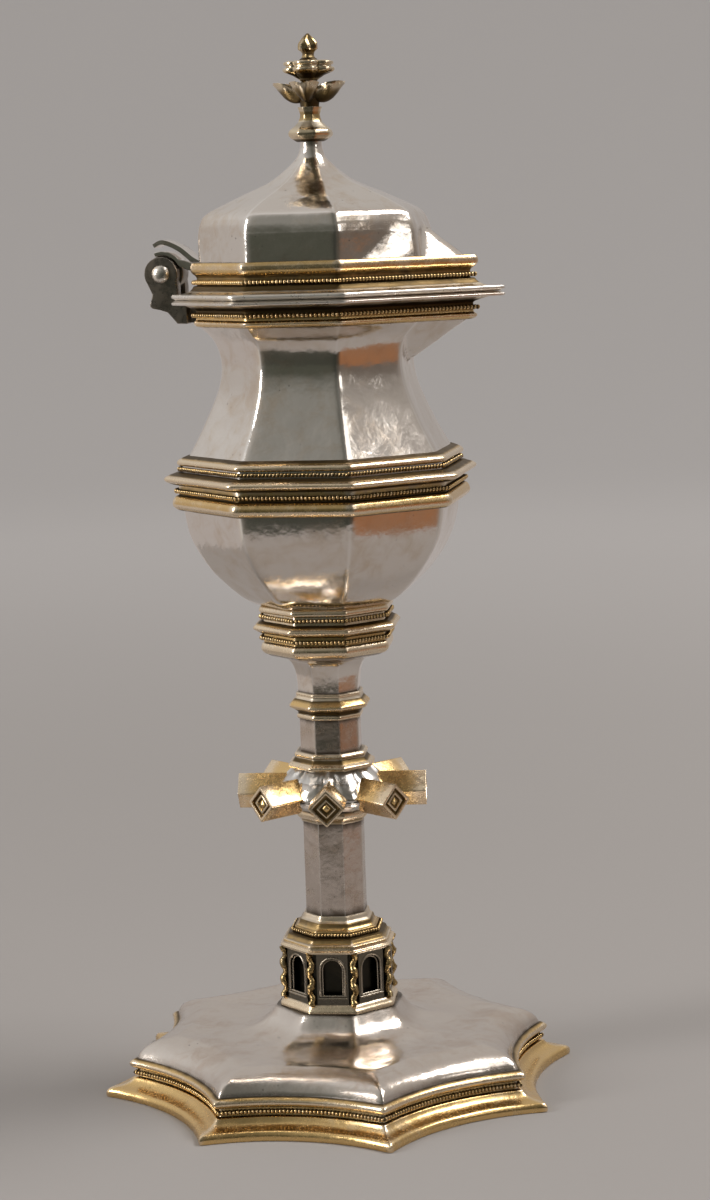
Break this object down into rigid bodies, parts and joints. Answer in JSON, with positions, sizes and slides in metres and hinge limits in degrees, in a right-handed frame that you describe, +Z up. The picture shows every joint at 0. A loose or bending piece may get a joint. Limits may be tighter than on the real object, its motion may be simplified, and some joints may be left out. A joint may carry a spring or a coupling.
{
  "type": "lidded liturgical vessel",
  "caption": "Faceted lidded metal vessel on a pointed star foot, with knopped stem, beaded mouldings, a beaked pouring rim and a hinged lid with a leaf finial.",
  "frame": {"origin": "on the resting plane, under the middle of the foot", "axes": "+Z up along the stem; +X towards the beak of rim and lid; the hinge is at -X"},
  "size_m": [0.1202, 0.1202, 0.28],
  "materials": {
    "silver": "polished, hand hammered, lightly tarnished",
    "gilt": "worn gilding over silver, dark in the recesses",
    "tarnished": "blackened silver",
    "iron": "plain forged iron"
  },
  "bodies": {
    "vessel": {"arcade_base": "gilt", "arcade_bead_wire": "gilt", "arcade_buttresses": "gilt", "arcade_cornice": "gilt", "arcade_wall": "tarnished", "belt_bead_lower": "gilt", "belt_lip": "gilt", "belt_lower_molding": "gilt", "belt_rope_upper": "gilt", "belt_upper_molding": "gilt", "boss_frames": "gilt", "boss_studs": "gilt", "bowl_collar_cap": "gilt", "bowl_collar_core": "gilt", "bowl_collar_lip": "gilt", "bowl_shell": "silver", "bowl_stem_flare": "silver", "collar_bead_lower": "gilt", "collar_bead_upper": "gilt", "foot_bead_wire": "gilt", "foot_dome": "silver", "foot_flange": "gilt", "foot_lip_molding": "gilt", "foot_washer": "iron", "hinge_bracket": "tarnished", "hinge_pin": "silver", "knop_bosses": "gilt", "knop_lower_shell": "silver", "knop_upper_shell": "silver", "lower_knop_collar": "gilt", "lower_shaft": "silver", "neck_shell": "silver", "rim_bead_wire": "gilt", "rim_flange": "silver", "rim_molding": "gilt", "stem_ring": "gilt", "tie_rod": "iron", "tie_rod_nut": "iron", "upper_knop_collar": "gilt", "upper_shaft": "silver", "window_frames": "gilt"},
    "lid": {"finial_base": "gilt", "finial_bud": "gilt", "finial_flower": "gilt", "finial_leaves": "gilt", "finial_rivet": "silver", "lid_bead_wire": "gilt", "lid_flange": "silver", "lid_hinge_leaf": "silver", "lid_molding": "gilt", "lid_shell": "silver", "lid_thumb_leaf": "silver"}
  },
  "joints": [
    {"name": "lid_hinge", "type": "hinge", "parent": "vessel", "child": "lid", "pos_m": [-0.0404, 0, 0.2192], "axis": [0, -1, 0], "range_deg": [0, 105]}
  ]
}
